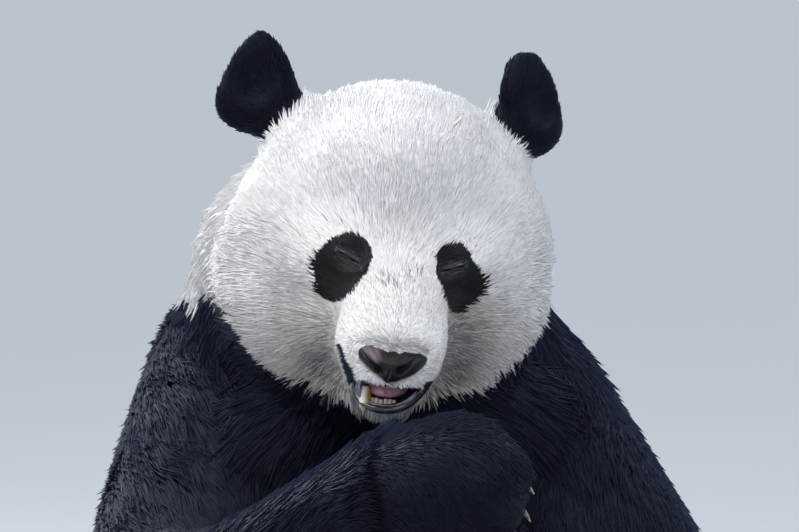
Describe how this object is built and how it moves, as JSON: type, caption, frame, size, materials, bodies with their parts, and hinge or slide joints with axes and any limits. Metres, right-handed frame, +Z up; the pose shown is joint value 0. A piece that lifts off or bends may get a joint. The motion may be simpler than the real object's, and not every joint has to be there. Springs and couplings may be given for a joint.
{
  "type": "giant panda",
  "caption": "Life-size still giant panda seated on its rump, hind legs stretched forward, right forepaw raised to its mouth, left paw on its knee.",
  "frame": {"origin": "middle of the footprint's box, on the floor", "axes": "+Z up; the animal faces -Y; +X is the animal's own left"},
  "size_m": [0.7894, 0.9572, 1.0219],
  "materials": {
    "white_fur": "dense coarse white coat",
    "black_fur": "dense coarse black coat with a faint blue sheen",
    "nose_leather": "moist pebbled dark skin",
    "eye": "wet dark brown eye",
    "tooth_enamel": "worn ivory enamel",
    "tongue_flesh": "wet pink flesh",
    "claw_horn": "dark worn horn"
  },
  "bodies": {
    "root": {"trunk": "white_fur", "tail": "white_fur", "neck": "white_fur", "head": "white_fur", "jaw": "white_fur", "ear_left": "black_fur", "ear_right": "black_fur", "eye_left": "eye", "eye_right": "eye", "nose": "nose_leather", "canine_lower_right": "tooth_enamel", "incisors_lower": "tooth_enamel", "tongue": "tongue_flesh", "upper_arm_left": "black_fur", "upper_arm_right": "black_fur", "forearm_left": "black_fur", "forearm_right": "black_fur", "forepaw_left": "black_fur", "forepaw_right": "black_fur", "thigh_left": "black_fur", "thigh_right": "black_fur", "shank_left": "black_fur", "shank_right": "black_fur", "hind_foot_left": "black_fur", "hind_foot_right": "black_fur", "claw_front_left_1": "claw_horn", "claw_front_left_2": "claw_horn", "claw_front_left_3": "claw_horn", "claw_front_left_4": "claw_horn", "claw_front_left_5": "claw_horn", "claw_front_right_1": "claw_horn", "claw_front_right_2": "claw_horn", "claw_front_right_3": "claw_horn", "claw_front_right_4": "claw_horn", "claw_front_right_5": "claw_horn", "claw_hind_left_1": "claw_horn", "claw_hind_left_2": "claw_horn", "claw_hind_left_3": "claw_horn", "claw_hind_left_4": "claw_horn", "claw_hind_left_5": "claw_horn", "claw_hind_right_1": "claw_horn", "claw_hind_right_2": "claw_horn", "claw_hind_right_3": "claw_horn", "claw_hind_right_4": "claw_horn", "claw_hind_right_5": "claw_horn"}
  },
  "joints": []
}
